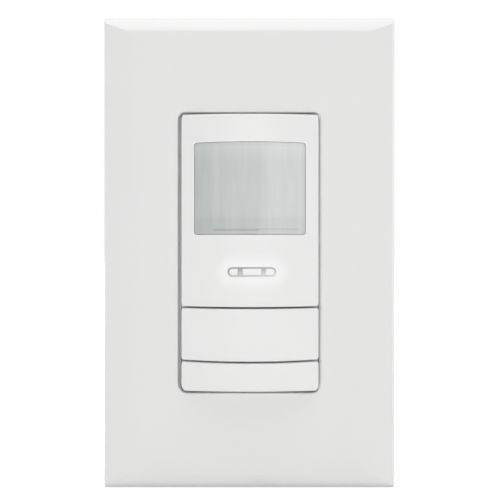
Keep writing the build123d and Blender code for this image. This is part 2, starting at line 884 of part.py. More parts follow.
def wire_holes(side, z):
    """Cutting pins for the two wire holes of one terminal."""
    x = side * (bay_floor + tongue_thick + clamp_gap / 2)
    rear = -rear_depth - overrun
    inner = bay_back + overrun
    lower = pin(x, z - wire_hole_offset, wire_hole_radius, rear, inner)
    return lower + pin(x, z + wire_hole_offset, wire_hole_radius, rear, inner)


def rear_housing():
    """Moulded box in the wall, with stepped columns, terminal bays and a stepped rim."""
    outer = RectangleRounded(rear_width, rear_height, rear_corner)
    shell = slab(outer, -rear_depth, -rear_step_height)
    shell = fillet(most_rearward(shell).edges(), rear_round)
    rim = RectangleRounded(rear_width - 2 * rear_step, rear_height - 2 * rear_step, rear_corner - rear_step)
    shell += slab(rim, -rear_step_height, 0)
    wall = rear_wall + rear_step
    hollow = RectangleRounded(rear_width - 2 * rear_wall, rear_height - 2 * rear_wall, board_corner)
    mouth = RectangleRounded(rear_width - 2 * wall, rear_height - 2 * wall, board_corner)
    back = rear_wall - rear_depth
    shell -= slab(hollow, back, -rear_step_height - rear_wall)
    shell -= slab(mouth, back, overrun)
    inside = back - rear_wall / 2
    for x, z in columns:
        shell += pin(x, z, column_base_radius, inside, power_rear)
        shell += pin(x, z, column_radius, power_rear, control_rear)
        shell += pin(x, z, column_neck_radius, control_rear, 0)
    for side, z in terminals:
        start = bay_floor - bay_wall
        end = (rear_width - rear_wall) / 2
        height = bay_height + 2 * bay_wall
        middle = side * (start + end) / 2
        shell += block(middle, z, end - start, height, inside, bay_front + bay_wall)
    for side, z in terminals:
        middle = side * (bay_floor + bay_depth / 2 + overrun / 2)
        shell -= block(middle, z, bay_depth + overrun, bay_height, bay_back, bay_front)
        tongue_x = side * (bay_floor + tongue_thick / 2)
        gap = 2 * seat_clearance
        slot_height = tongue_width + gap
        shell -= block(tongue_x, z, tongue_thick + gap, slot_height, bay_front - overrun, power_rear)
        bore = thread_radius + screw_clearance
        shell -= cross_pin(z, screw_z, bore, side * (bay_floor - bay_wall - overrun), side * bay_floor)
        shell -= wire_holes(side, z)
    for x, z in columns:
        shell -= pin(x, z, case_head_bore, -rear_depth - overrun, screw_seat)
        shell -= pin(x, z, case_shank_bore, screw_seat, overrun)
    return shell


def housing_screws():
    """Four long-shanked screws, deep in the columns, that clamp strap and housings."""
    screws = []
    for x, z in columns:
        head = pin(x, z, case_head_radius, screw_seat - case_head_height, screw_seat)
        cross = slot_depth / 2
        rear = screw_seat - case_head_height
        head -= block(x, z, slot_width, 2 * slot_width, rear, rear + cross)
        head -= block(x, z, 2 * slot_width, slot_width, rear, rear + cross)
        screws.append(head + pin(x, z, case_shank_radius, screw_seat, case_screw_end))
    return screws


def terminal_plates():
    """Brass tongues that lead from the terminal bays to the power board."""
    plates = []
    for side, z in terminals:
        x = side * (bay_floor + tongue_thick / 2)
        plate = block(x, z, tongue_thick, tongue_width, bay_back + tongue_end_gap, power_rear)
        bore = thread_radius + screw_clearance
        plates.append(plate - cross_pin(z, screw_z, bore, 0, side * rear_width))
    return plates


def terminal_clamps():
    """Clamp plates that press the wires against the tongues."""
    clamps = []
    for side, z in terminals:
        x = side * (bay_floor + tongue_thick + clamp_gap + clamp_thick / 2)
        low = screw_z - clamp_width / 2
        clamp = block(x, z, clamp_thick, clamp_height, low, low + clamp_width)
        bore = thread_radius + screw_clearance
        clamps.append(clamp - cross_pin(z, screw_z, bore, 0, side * rear_width))
    return clamps


def terminal_screws():
    """Screws of the wire terminals, with wide slotted heads."""
    screws = []
    for side, z in terminals:
        seat = bay_floor + tongue_thick + clamp_gap + clamp_thick
        end = seat + terminal_head_height
        head = cross_pin(z, screw_z, terminal_head_radius, side * seat, side * end)
        outer_face = head.faces().sort_by(Axis.X)[-1 if side > 0 else 0]
        head = chamfer(outer_face.edges(), head_chamfer)
        tip = bay_floor - bay_wall - terminal_tip
        screw = head + cross_pin(z, screw_z, thread_radius, side * tip, side * seat)
        cut = Box(2 * slot_depth, slot_width, 3 * terminal_head_radius)
        screws.append(screw - Pos(side * end, -screw_z, z) * cut)
    return screws


def nodes():
    """Every sub-part of the switch by name, each one solid or a group of separate solids."""
    return {
        "wall_plate_cover": wall_plate_cover(),
        "plate_subframe": plate_subframe(),
        "subframe_screws": subframe_screws(),
        "mounting_strap": mounting_strap(),
        "box_screws": box_screws(),
        "ground_screw": ground_screw(),
        "front_housing": front_housing(),
        "fresnel_lens": fresnel_lens(),
        "lens_retainer": lens_retainer(),
        "light_pipe": light_pipe(),
        "upper_button": upper_button(),
        "lower_button": lower_button(),
        "control_board": control_board(),
        "tact_switch_bodies": tact_switch_bodies(),
        "upper_plunger": plunger(upper_switch_z),
        "lower_plunger": plunger(lower_switch_z),
        "pyro_sensor": pyro_sensor(),
        "pyro_filter": pyro_filter(),
        "indicator_leds": indicator_leds(),
        "light_sensor": light_sensor(),
        "microcontroller": microcontroller(),
        "board_header": board_header(),
        "power_board": power_board(),
        "relay": relay(),
        "film_capacitor": film_capacitor(),
        "electrolytic_capacitors": electrolytic_capacitors(),
        "varistor": varistor(),
        "fuse": fuse(),
        "choke": choke(),
        "rectifier": rectifier(),
        "rear_housing": rear_housing(),
        "housing_screws": housing_screws(),
        "terminal_plates": terminal_plates(),
        "terminal_clamps": terminal_clamps(),
        "terminal_screws": terminal_screws(),
    }


os.makedirs("parts", exist_ok=True)
for name, piece in nodes().items():
    solids = piece if isinstance(piece, list) else [piece]
    bodies = [solid for item in solids for solid in item.solids()]
    export_step(Compound(children=bodies), f"parts/{name}.step")
    print(name, len(bodies), round(sum(body.volume for body in bodies), 1))
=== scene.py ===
from math import pi, radians

import bmesh
import bpy
from mathutils import Matrix, Vector
from mathutils.kdtree import KDTree


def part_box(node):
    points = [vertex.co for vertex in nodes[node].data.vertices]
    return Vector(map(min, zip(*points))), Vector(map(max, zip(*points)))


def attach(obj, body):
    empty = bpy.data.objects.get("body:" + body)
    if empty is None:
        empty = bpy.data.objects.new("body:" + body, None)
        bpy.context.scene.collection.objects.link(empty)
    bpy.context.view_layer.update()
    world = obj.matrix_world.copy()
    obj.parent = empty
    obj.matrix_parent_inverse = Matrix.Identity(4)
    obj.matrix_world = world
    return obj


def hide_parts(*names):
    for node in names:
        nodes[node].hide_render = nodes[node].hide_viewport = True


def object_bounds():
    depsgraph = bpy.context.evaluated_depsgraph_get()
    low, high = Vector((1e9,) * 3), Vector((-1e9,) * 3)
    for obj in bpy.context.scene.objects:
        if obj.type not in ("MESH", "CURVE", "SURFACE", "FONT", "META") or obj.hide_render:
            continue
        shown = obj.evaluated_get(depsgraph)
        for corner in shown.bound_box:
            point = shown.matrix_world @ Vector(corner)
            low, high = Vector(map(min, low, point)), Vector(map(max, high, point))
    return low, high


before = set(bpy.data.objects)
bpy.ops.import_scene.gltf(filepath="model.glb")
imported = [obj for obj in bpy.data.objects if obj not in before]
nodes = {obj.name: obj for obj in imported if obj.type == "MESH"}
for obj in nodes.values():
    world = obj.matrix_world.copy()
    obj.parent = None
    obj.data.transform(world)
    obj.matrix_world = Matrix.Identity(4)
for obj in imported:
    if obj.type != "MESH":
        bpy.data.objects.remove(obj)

cad_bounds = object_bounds()
MM = 0.001

# Rear housing.
# A deep tub of black moulded plastic with a coarse grain. It holds the boards and the wire
# terminals, and its screws pass through the columns inside it.
SURFACE_OUTPUTS = (
    ("Colour", "NodeSocketColor"),
    ("Roughness", "NodeSocketFloat"),
    ("Normal", "NodeSocketVector"),
)
FINE_DETAIL = 3.0
GRAIN_BUMP = 0.6
FLOW_SCALE = 45.0
FLOW_SHADE = 0.985
FLOW_SHEEN = 0.06


def shader_group(name, inputs, outputs=SURFACE_OUTPUTS):
    """An empty shader group with the named inputs and outputs."""
    tree = bpy.data.node_groups.new(name, "ShaderNodeTree")
    for label, kind, value in inputs:
        tree.interface.new_socket(label, in_out="INPUT", socket_type=kind).default_value = value
    for label, kind in outputs:
        tree.interface.new_socket(label, in_out="OUTPUT", socket_type=kind)
    return tree


def add(tree, kind, links=(), **settings):
    """A node with its settings, and its sockets linked or filled by name or number."""
    node = tree.nodes.new(kind)
    for key, value in settings.items():
        setattr(node, key, value)
    for key, value in links:
        if isinstance(value, bpy.types.NodeSocket):
            tree.links.new(value, node.inputs[key])
        else:
            node.inputs[key].default_value = value
    return node


def give_out(tree, **sockets):
    """Leads sockets to the outputs of a group that bear their names."""
    out = tree.nodes.new("NodeGroupOutput")
    for label, socket in sockets.items():
        tree.links.new(socket, out.inputs[label])


def own_place(tree):
    """The place on the piece itself, in metres, on which every pattern runs."""
    return add(tree, "ShaderNodeTexCoord").outputs["Object"]


def maths(tree, operation, first, second=0.0):
    """One sum on one or two values."""
    return add(tree, "ShaderNodeMath", ((0, first), (1, second)), operation=operation).outputs[0]


def noise(tree, vector, scale, detail=2.0):
    """Noise factor at a scale given in features per metre."""
    links = (("Vector", vector), ("Scale", scale), ("Detail", detail))
    return add(tree, "ShaderNodeTexNoise", links).outputs["Fac"]


def tinted(tree, factor, colour, shade):
    """Colour that goes towards a darker or lighter shade of itself as the factor grows."""
    changed = add(tree, "ShaderNodeHueSaturation", (("Color", colour), ("Value", shade))).outputs["Color"]
    return add(tree, "ShaderNodeMix", ((0, factor), (6, colour), (7, changed)), data_type="RGBA").outputs[2]


def bumped(tree, strength, depth, height):
    """Normal of a surface that a pattern lifts by up to a depth."""
    links = (("Strength", strength), ("Distance", depth), ("Height", height))
    return add(tree, "ShaderNodeBump", links).outputs["Normal"]


def moulded_group():
    """Moulded plastic: a fine spark-eroded grain, slight flow marks and a soft change of sheen."""
    tree = shader_group("moulded_surface", (
        ("Colour", "NodeSocketColor", (0.8, 0.8, 0.8, 1.0)),
        ("Roughness", "NodeSocketFloat", 0.4),
        ("Grain", "NodeSocketFloat", 3000.0),
        ("Depth", "NodeSocketFloat", 0.02 * MM),
    ))
    given = tree.nodes.new("NodeGroupInput").outputs
    place = own_place(tree)
    grain = noise(tree, place, given["Grain"], FINE_DETAIL)
    flow = noise(tree, place, FLOW_SCALE)
    colour = tinted(tree, flow, given["Colour"], FLOW_SHADE)
    sheen = maths(tree, "ADD", given["Roughness"], maths(tree, "MULTIPLY", flow, FLOW_SHEEN))
    normal = bumped(tree, GRAIN_BUMP, given["Depth"], grain)
    give_out(tree, Colour=colour, Roughness=sheen, Normal=normal)
    return tree


def material(name, group, colour, roughness, pattern=None, **shader):
    """Material whose colour, roughness and normal come from a shared group."""
    made = bpy.data.materials.new(name)
    made.use_nodes = True
    tree = made.node_tree
    surface = tree.nodes["Principled BSDF"]
    node = add(tree, "ShaderNodeGroup", node_tree=group, name="pattern")
    node.inputs["Colour"].default_value = (*colour, 1.0)
    node.inputs["Roughness"].default_value = roughness
    for key, value in (pattern or {}).items():
        node.inputs[key].default_value = value
    tree.links.new(node.outputs["Colour"], surface.inputs["Base Color"])
    tree.links.new(node.outputs["Roughness"], surface.inputs["Roughness"])
    tree.links.new(node.outputs["Normal"], surface.inputs["Normal"])
    for key, value in shader.items():
        surface.inputs[key.replace("_", " ")].default_value = value
    return made


def dress(finish, *names):
    """Gives CAD nodes their material."""
    for name in names:
        mesh = nodes[name].data
        for index in range(len(mesh.materials)):
            mesh.materials[index] = finish


MOULDED = moulded_group()
rear_black = material("rear_black", MOULDED, (0.028, 0.028, 0.03), 0.5, {"Grain": 1800.0, "Depth": 0.07 * MM})
dress(rear_black, "rear_housing")

# Wire terminals.
# Brass tongues and clamp plates in the bays of the rear housing, each held by a wide slotted
# screw with a rolled thread.
THREAD_RADIUS = 1.75 * MM
THREAD_PITCH = 0.794 * MM
THREAD_DEPTH_SHARE = 0.6
THREAD_OVERLAP = 0.3 * MM
SCREW_POINT = 1.0 * MM
RINGS_PER_TURN = 6
PIN_SIDES = 25
PIN_WELD = 0.001 * MM
HEAD_MARGIN = 0.02 * MM
SHANK_MARGIN = 0.01 * MM
WELD = 0.0001 * MM
SHARP_ANGLE = radians(35)
DRAWN_LINES = 4000.0
LINE_BUMP = 0.5
LINE_SHEEN = 0.12
PLATING_SPOTS = 260.0
SPOT_SHADE = 0.8
SPOT_SHEEN = 0.2


def stretched(tree, vector, share):
    """A place whose axes are each taken at a share, so that a pattern on it is drawn out."""
    links = ((0, vector), (1, share))
    return add(tree, "ShaderNodeVectorMath", links, operation="MULTIPLY").outputs[0]


def metal_group():
    """Plated or drawn metal: fine lines along one direction, and clouded spots of the plating."""
    tree = shader_group("metal_surface", (
        ("Colour", "NodeSocketColor", (0.6, 0.6, 0.6, 1.0)),
        ("Roughness", "NodeSocketFloat", 0.3),
        ("Stretch", "NodeSocketVector", (1.0, 1.0, 0.05)),
        ("Depth", "NodeSocketFloat", 0.01 * MM),
    ))
    given = tree.nodes.new("NodeGroupInput").outputs
    place = own_place(tree)
    lines = noise(tree, stretched(tree, place, given["Stretch"]), DRAWN_LINES, FINE_DETAIL)
    cells = (("Vector", place), ("Scale", PLATING_SPOTS))
    spots = add(tree, "ShaderNodeTexVoronoi", cells).outputs["Distance"]
    dull = maths(tree, "MULTIPLY", spots, SPOT_SHEEN)
    wear = maths(tree, "ADD", dull, maths(tree, "MULTIPLY", lines, LINE_SHEEN))
    colour = tinted(tree, spots, given["Colour"], SPOT_SHADE)
    sheen = maths(tree, "ADD", given["Roughness"], wear)
    normal = bumped(tree, LINE_BUMP, given["Depth"], lines)
    give_out(tree, Colour=colour, Roughness=sheen, Normal=normal)
    return tree


def winding_group():
    """A pin along +Z whose surface carries one helical ridge, closed to a point at both ends."""
    tree = bpy.data.node_groups.new("wound_pin", "GeometryNodeTree")
    for label, kind, value in (
        ("Radius", "NodeSocketFloat", THREAD_RADIUS),
        ("Depth", "NodeSocketFloat", THREAD_DEPTH_SHARE * THREAD_PITCH),
        ("Pitch", "NodeSocketFloat", THREAD_PITCH),
        ("Length", "NodeSocketFloat", 10 * MM),
        ("Point", "NodeSocketFloat", SCREW_POINT),
        ("Sides", "NodeSocketInt", PIN_SIDES),
        ("Rings", "NodeSocketInt", 60),
    ):
        tree.interface.new_socket(label, in_out="INPUT", socket_type=kind).default_value = value
    tree.interface.new_socket("Finish", in_out="INPUT", socket_type="NodeSocketMaterial")
    tree.interface.new_socket("Geometry", in_out="OUTPUT", socket_type="NodeSocketGeometry")
    given = tree.nodes.new("NodeGroupInput").outputs
    squares = (
        ("Size X", 1.0),
        ("Size Y", 1.0),
        ("Vertices X", given["Sides"]),
        ("Vertices Y", given["Rings"]),
    )
    grid = add(tree, "GeometryNodeMeshGrid", squares).outputs["Mesh"]
    position = add(tree, "GeometryNodeInputPosition").outputs[0]
    place = add(tree, "ShaderNodeSeparateXYZ", ((0, position),)).outputs
    share = maths(tree, "ADD", place["X"], 0.5)
    along = maths(tree, "MULTIPLY", maths(tree, "ADD", place["Y"], 0.5), given["Length"])
    turn = maths(tree, "SUBTRACT", maths(tree, "DIVIDE", along, given["Pitch"]), share)
    twice = maths(tree, "MULTIPLY", given["Depth"], 2.0)
    groove = maths(tree, "MULTIPLY", maths(tree, "PINGPONG", turn, 0.5), twice)
    ends = maths(tree, "MINIMUM", along, maths(tree, "SUBTRACT", given["Length"], along))
    closing = maths(tree, "MINIMUM", maths(tree, "DIVIDE", ends, given["Point"]), 1.0)
    radius = maths(tree, "MULTIPLY", maths(tree, "SUBTRACT", given["Radius"], groove), closing)
    angle = maths(tree, "MULTIPLY", share, 2 * pi)
    across = maths(tree, "MULTIPLY", radius, maths(tree, "COSINE", angle))
    up = maths(tree, "MULTIPLY", radius, maths(tree, "SINE", angle))
    point = add(tree, "ShaderNodeCombineXYZ", ((0, across), (1, up), (2, along))).outputs[0]
    shape = grid
    for kind, links in (
        ("GeometryNodeSetPosition", (("Position", point),)),
        ("GeometryNodeMergeByDistance", (("Distance", PIN_WELD),)),
        ("GeometryNodeSetShadeSmooth", ()),
        ("GeometryNodeRealizeInstances", ()),
        ("GeometryNodeSetMaterial", (("Material", given["Finish"]),)),
    ):
        shape = add(tree, kind, (("Geometry", shape), *links)).outputs[0]
    give_out(tree, Geometry=shape)
    return tree


METAL = metal_group()
WOUND_PIN = winding_group()


def wound_pin(finish, radius, depth, pitch, length, point=SCREW_POINT):
    """Mesh of one threaded or wound pin of these sizes, along +Z from the origin."""
    carrier = bpy.data.objects.new("carrier", bpy.data.meshes.new("carrier"))
    bpy.context.collection.objects.link(carrier)
    modifier = carrier.modifiers.new("form", "NODES")
    modifier.node_group = WOUND_PIN
    sizes = {
        "Radius": radius,
        "Depth": depth,
        "Pitch": pitch,
        "Length": length,
        "Point": point,
        "Sides": PIN_SIDES,
        "Rings": int(length / pitch * RINGS_PER_TURN) + 1,
        "Finish": finish,
    }
    for item in WOUND_PIN.interface.items_tree:
        if item.name in sizes:
            modifier[item.identifier] = sizes[item.name]
    evaluated = carrier.evaluated_get(bpy.context.evaluated_depsgraph_get())
    mesh = bpy.data.meshes.new_from_object(evaluated)
    bpy.data.objects.remove(carrier)
    return mesh


def merged(node):
    """Working copy of a CAD node's mesh, with its loose triangles joined."""
    copy = bmesh.new()
    copy.from_mesh(nodes[node].data)
    copy.transform(nodes[node].matrix_world)
    bmesh.ops.remove_doubles(copy, verts=copy.verts, dist=WELD)
    return copy


def islands(copy):
    """The separate bodies of a mesh, each as a list of its corners."""
    seen = set()
    found = []
    for first in copy.verts:
        if first in seen:
            continue
        seen.add(first)
        island = [first]
        for vert in island:
            for edge in vert.link_edges:
                other = edge.other_vert(vert)
                if other not in seen:
                    seen.add(other)
                    island.append(other)
        found.append(island)
    return found


def finished(name, copy, finish, body, node):
    """Object from a working copy, which takes the place of a CAD node."""
    mesh = bpy.data.meshes.new(name)
    copy.to_mesh(mesh)
    copy.free()
    mesh.materials.clear()
    mesh.materials.append(finish)
    mesh.set_sharp_from_angle(angle=SHARP_ANGLE)
    made = bpy.data.objects.new(name, mesh)
    bpy.context.collection.objects.link(made)
    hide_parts(node)
    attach(made, body)
    return made


def shank_place(island, axis, radius, neck):
    """Middle of one screw, the way it points, and where its thread starts and ends on the axis."""
    low = Vector([min(vert.co[index] for vert in island) for index in range(3)])
    high = Vector([max(vert.co[index] for vert in island) for index in range(3)])
    middle = (low + high) / 2
    side = 0 if axis else 1
    head = [vert.co[axis] for vert in island if (vert.co - middle)[side] > radius + HEAD_MARGIN]
    if min(head) - low[axis] < high[axis] - max(head):
        return middle, 1, max(head) + neck, high[axis]
    return middle, -1, min(head) - neck, low[axis]


def cut_at_necks(copy, axis, radius, neck):
    """Cuts each screw of a mesh straight across where its plain neck ends."""
    along = Vector([float(index == axis) for index in range(3)])
    for island in islands(copy):
        middle, _, seat, _ = shank_place(island, axis, radius, neck)
        middle[axis] = seat
        edges = dict.fromkeys(edge for vert in island for edge in vert.link_edges)
        faces = dict.fromkeys(face for vert in island for face in vert.link_faces)
        bmesh.ops.bisect_plane(copy, geom=[*island, *edges, *faces], plane_co=middle, plane_no=along)


def threaded(node, axis, finish, radius=THREAD_RADIUS, pitch=THREAD_PITCH, neck=0.0):
    """Screws of a CAD node, with a real thread in place of each plain shank behind its neck."""
    copy = merged(node)
    if neck:
        cut_at_necks(copy, axis, radius, neck)
    pins = []
    for island in islands(copy):
        middle, way, seat, tip = shank_place(island, axis, radius, neck)
        for vert in island:
            offset = vert.co - middle
            offset[axis] = 0
            behind = (vert.co[axis] - seat) * way > -SHANK_MARGIN
            vert.tag = behind and offset.length < radius + SHANK_MARGIN
        start = middle.copy()
        start[axis] = seat - way * THREAD_OVERLAP
        aim = Vector([way if index == axis else 0 for index in range(3)])
        turn = aim.to_track_quat("Z", "Y").to_matrix().to_4x4()
        pins.append((Matrix.Translation(start) @ turn, abs(tip - start[axis])))
    shank = [face for face in copy.faces if all(vert.tag for vert in face.verts)]
    bmesh.ops.delete(copy, geom=shank, context="FACES")
    rims = [edge for edge in copy.edges if edge.is_boundary]
    bmesh.ops.holes_fill(copy, edges=rims, sides=0)
    for face in copy.faces:
        face.smooth = True
    for place, length in pins:
        mesh = wound_pin(finish, radius, THREAD_DEPTH_SHARE * pitch, pitch, length)
        mesh.transform(place)
        copy.from_mesh(mesh)
    finished(node + "_threaded", copy, finish, "device", node)


brass = material("brass", METAL, (0.80, 0.58, 0.25), 0.22, {"Stretch": (1.0, 0.05, 1.0)}, Metallic=1.0)
dress(brass, "terminal_plates", "terminal_clamps")
threaded("terminal_screws", 0, brass)

# Circuit boards.
# Two boards of glass fibre under green solder mask. The power board lies in the rear housing and
# the control board stands in front of it, on the pins of a black header.
TRACK_TURNS = 0.85
TRACK_EDGE = 0.62
TRACK_BUMP = 0.8
TRACK_SHADE = 1.7
MASK_SHEEN = 0.1


def board_group():
    """Circuit board: solder mask over copper tracks that turn at right angles."""
    tree = shader_group("board_surface", (
        ("Colour", "NodeSocketColor", (0.02, 0.16, 0.06, 1.0)),
        ("Roughness", "NodeSocketFloat", 0.3),
        ("Track", "NodeSocketFloat", 900.0),
        ("Depth", "NodeSocketFloat", 0.04 * MM),
    ))
    given = tree.nodes.new("NodeGroupInput").outputs
    links = (("Vector", own_place(tree)), ("Scale", given["Track"]), ("Randomness", TRACK_TURNS))
    cells = add(tree, "ShaderNodeTexVoronoi", links, distance="MANHATTAN", feature="F1").outputs["Distance"]
    track = maths(tree, "GREATER_THAN", cells, TRACK_EDGE)
    colour = tinted(tree, track, given["Colour"], TRACK_SHADE)
    sheen = maths(tree, "ADD", given["Roughness"], maths(tree, "MULTIPLY", cells, MASK_SHEEN))
    normal = bumped(tree, TRACK_BUMP, given["Depth"], track)
    give_out(tree, Colour=colour, Roughness=sheen, Normal=normal)
    return tree


BOARD = board_group()
mask = material("solder_mask", BOARD, (0.02, 0.15, 0.06), 0.28, Coat_Weight=0.3)
black = material("chip_black", MOULDED, (0.022, 0.022, 0.024), 0.45, {"Grain": 7000.0})
dress(mask, "power_board", "control_board")
dress(black, "board_header")

# Mains parts.
# Relay, capacitors, varistor, fuse and rectifier, soldered to the power board. Each has its own
# cast, moulded, dipped or sleeved case.
relay_blue = material("relay_case", MOULDED, (0.03, 0.10, 0.30), 0.35)
film_yellow = material("film_case", MOULDED, (0.62, 0.42, 0.06), 0.35)
sleeve = material("can_sleeve", MOULDED, (0.02, 0.025, 0.05), 0.25, Coat_Weight=0.5)
coat_blue = material("disc_coat", MOULDED, (0.03, 0.12, 0.42), 0.3, {"Grain": 900.0, "Depth": 0.1 * MM})
dress(relay_blue, "relay")
dress(film_yellow, "film_capacitor")
dress(sleeve, "electrolytic_capacitors")
dress(coat_blue, "varistor")
dress(black, "fuse", "rectifier")

# Choke.
# A dark ferrite core with two flanges. Between them lies its winding of enamelled copper wire,
# turn beside turn.
WIRE = 0.45 * MM
CHOKE_FLANGE = 1.4 * MM
WINDING_SINK = 0.3 * MM
ferrite = material("ferrite", MOULDED, (0.045, 0.04, 0.04), 0.6, {"Grain": 2500.0, "Depth": 0.06 * MM})
copper = material("copper_wire", METAL, (0.55, 0.17, 0.06), 0.2, Metallic=1.0, Coat_Weight=0.8)


def choke_winding():
    """The winding, between the flanges and a little below their rims."""
    low, high = (Vector(corner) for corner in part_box("choke"))
    middle = (low + high) / 2
    radius = (high.x - low.x) / 2 - WINDING_SINK
    start = Vector((middle.x, low.y + CHOKE_FLANGE - WIRE, middle.z))
    length = high.y - low.y - 2 * (CHOKE_FLANGE - WIRE)
    mesh = wound_pin(copper, radius, WIRE / 2, WIRE, length, WIRE)
    turn = Vector((0, 1, 0)).to_track_quat("Z", "Y").to_matrix().to_4x4()
    mesh.transform(Matrix.Translation(start) @ turn)
    made = bpy.data.objects.new("choke_winding", mesh)
    bpy.context.collection.objects.link(made)
    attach(made, "device")


dress(ferrite, "choke")
choke_winding()

# Heat sensor, lamps, daylight sensor and chip.
# A nickel plated can with a dark filter in its lid, two white lamps, a dark glassy light sensor
# and a black chip, all soldered to the front of the control board.
can_metal = material("sensor_can", METAL, (0.66, 0.64, 0.58), 0.16, Metallic=1.0)
dark_glass = material("dark_filter", MOULDED, (0.015, 0.012, 0.014), 0.1, Coat_Weight=0.5)
lamp = material("lamp_white", MOULDED, (0.85, 0.85, 0.78), 0.3)
dress(can_metal, "pyro_sensor")
dress(dark_glass, "pyro_filter", "light_sensor")
dress(lamp, "indicator_leds")
dress(black, "microcontroller")

# Switches under the buttons.
# Two small black switches on the control board, each with a white plunger that its button
# pushes in.
cap_white = material("plunger_white", MOULDED, (0.7, 0.7, 0.68), 0.4)
dress(black, "tact_switch_bodies")
dress(cap_white, "upper_plunger", "lower_plunger")

# Lens.
# Thin milky polyethylene, ribbed on its inner side, clamped behind the window by its flange.
# Its colour holds painted light: it is painted brighter on its right, and the ribs show through as soft
# upright streaks of painted shade.
LENS_LOW, LENS_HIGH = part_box("fresnel_lens")
LENS_FLANGE = 1.12 * MM
LENS_SHADED_TONE = (0.40, 0.425, 0.41, 1.0)
LENS_LIT_TONE = (0.71, 0.735, 0.725, 1.0)
STREAK_SCALE = 700.0
STREAK_STRETCH = (1.0, 0.0, 0.12)
RIB_COUNT = 7.0
LEVEL_SCALE = 0.72
lens_milk = material("lens_milk", MOULDED, (0.60, 0.63, 0.61), 0.38, {"Grain": 4000.0, "Depth": 0.008 * MM})


def remapped(tree, value, start, end, low=0.0, high=1.0, kind="LINEAR"):
    """A value that goes from low to high while the given one goes from start to end."""
    links = (("Value", value), ("From Min", start), ("From Max", end), ("To Min", low), ("To Max", high))
    return add(tree, "ShaderNodeMapRange", links, interpolation_type=kind).outputs[0]


def soft_step(tree, value, start, end):
    """A smooth rise from 0 to 1 between two limits."""
    return remapped(tree, value, start, end, kind="SMOOTHSTEP")


def band(tree, value, start, end):
    """1 where a value lies between two limits, else 0."""
    low = maths(tree, "GREATER_THAN", value, start)
    return maths(tree, "MULTIPLY", low, maths(tree, "LESS_THAN", value, end))


def lens_painted_light(made):
    """Colour of the lens, with painted light: brighter to the right, with painted streaks and ribs, and
    painted highlight and shade lines near its edges.

    A place across the window goes from 0 at its left to 1 at its right, and one up it from 0 at its
    foot to 1 at its head.
    """
    tree = made.node_tree
    spot = own_place(tree)
    place = add(tree, "ShaderNodeSeparateXYZ", ((0, spot),)).outputs
    share = remapped(tree, place["X"], LENS_LOW[0] + LENS_FLANGE, LENS_HIGH[0] - LENS_FLANGE)
    rise = remapped(tree, place["Z"], LENS_LOW[2] + LENS_FLANGE, LENS_HIGH[2] - LENS_FLANGE)
    streaks = noise(tree, stretched(tree, spot, STREAK_STRETCH), STREAK_SCALE, FINE_DETAIL)
    ribs = maths(tree, "PINGPONG", maths(tree, "MULTIPLY", share, RIB_COUNT), 0.5)
    # Two painted shade lines near the foot of the window, one on its left part and one on its right part.
    lower = maths(tree, "MULTIPLY", band(tree, rise, 0.035, 0.062), band(tree, share, 0.17, 0.58))
    upper = maths(tree, "MULTIPLY", band(tree, rise, 0.045, 0.068), band(tree, share, 0.55, 0.93))
    level = 0.0
    # Painted light: brighter to the right and towards the head, darker near the foot, painted streaks and
    # ribs, a painted highlight line near the head and painted shade at the right edge.
    for feature, weight in (
        (share, 0.1),
        (soft_step(tree, share, 0.05, 0.2), 0.17),
        (soft_step(tree, share, 0.52, 0.75), 0.4),
        (streaks, 0.5),
        (ribs, 0.06),
        (soft_step(tree, rise, 0.16, 0.22), 0.15),
        (soft_step(tree, rise, 0.78, 0.95), 0.2),
        (band(tree, rise, 0.93, 0.955), 0.1),
        (band(tree, share, 0.965, 2.0), -0.12),
        (lower, -0.42),
        (upper, -0.3),
    ):
        level = maths(tree, "ADD", level, maths(tree, "MULTIPLY", feature, weight))
    ramp = add(tree, "ShaderNodeValToRGB", ((0, maths(tree, "MULTIPLY", level, LEVEL_SCALE)),))
    ramp.color_ramp.elements[0].color = LENS_SHADED_TONE
    ramp.color_ramp.elements[1].color = LENS_LIT_TONE
    tree.links.new(ramp.outputs[0], tree.nodes["pattern"].inputs["Colour"])


lens_painted_light(lens_milk)
dress(lens_milk, "fresnel_lens")

# Lens retainer.
# Grey plastic frame that presses the flange of the lens against the front housing.
retainer_grey = material("retainer_grey", MOULDED, (0.55, 0.55, 0.54), 0.5)
dress(retainer_grey, "lens_retainer")

# Light pipe.
# Clear plastic that leads the light of the lamps to the three windows of the slot. It has a faint painted
# glow of its own, which lifts the windows out of the shade of their recess.
clear = material("clear_plastic", MOULDED, (0.88, 0.88, 0.88), 0.16, IOR=1.49,
                 Emission_Color=(1.0, 1.0, 1.0, 1.0), Emission_Strength=0.12)
dress(clear, "light_pipe")

# Front housing of the device.
# White moulded plastic, smoother and brighter than the cover, round across its width. It has a soft painted
# glow round the indicator slot and on the walls of the lens window, and a painted shade on the bed of the
# slot.
SLOT_MIDDLE = [sum(pair) / 2 for pair in zip(*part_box("light_pipe"))]
SLOT_HALF_LENGTH = 4.53 * MM
SLOT_RADIUS = 1.14 * MM
# Painted shade of the slot's bed: its tone at the foot and at the head, and how fast it darkens to the left.
SLOT_BED_SHADE_LOW = 0.84
SLOT_BED_SHADE_HIGH = 0.38
SLOT_BED_SHADE_SLANT = 0.1
# Reach of the painted glow round the slot, and the inset and strength of the painted glow on the lens
# window's walls.
PAINTED_GLOW_REACH = 5.0 * MM
WINDOW_INSET = 0.85 * MM
WINDOW_PAINTED_GLOW = 1.0
DEVICE_WHITE = (0.84, 0.84, 0.835)
DEVICE_FINISH = {
    "group": MOULDED,
    "colour": DEVICE_WHITE,
    "roughness": 0.34,
    "pattern": {"Grain": 6000.0, "Depth": 0.006 * MM},
    "Specular_IOR_Level": 0.45,
}
# Its emission holds the painted glow round the slot and on the lens window's walls.
hood_white = material("hood_white", **DEVICE_FINISH, Emission_Strength=0.075)


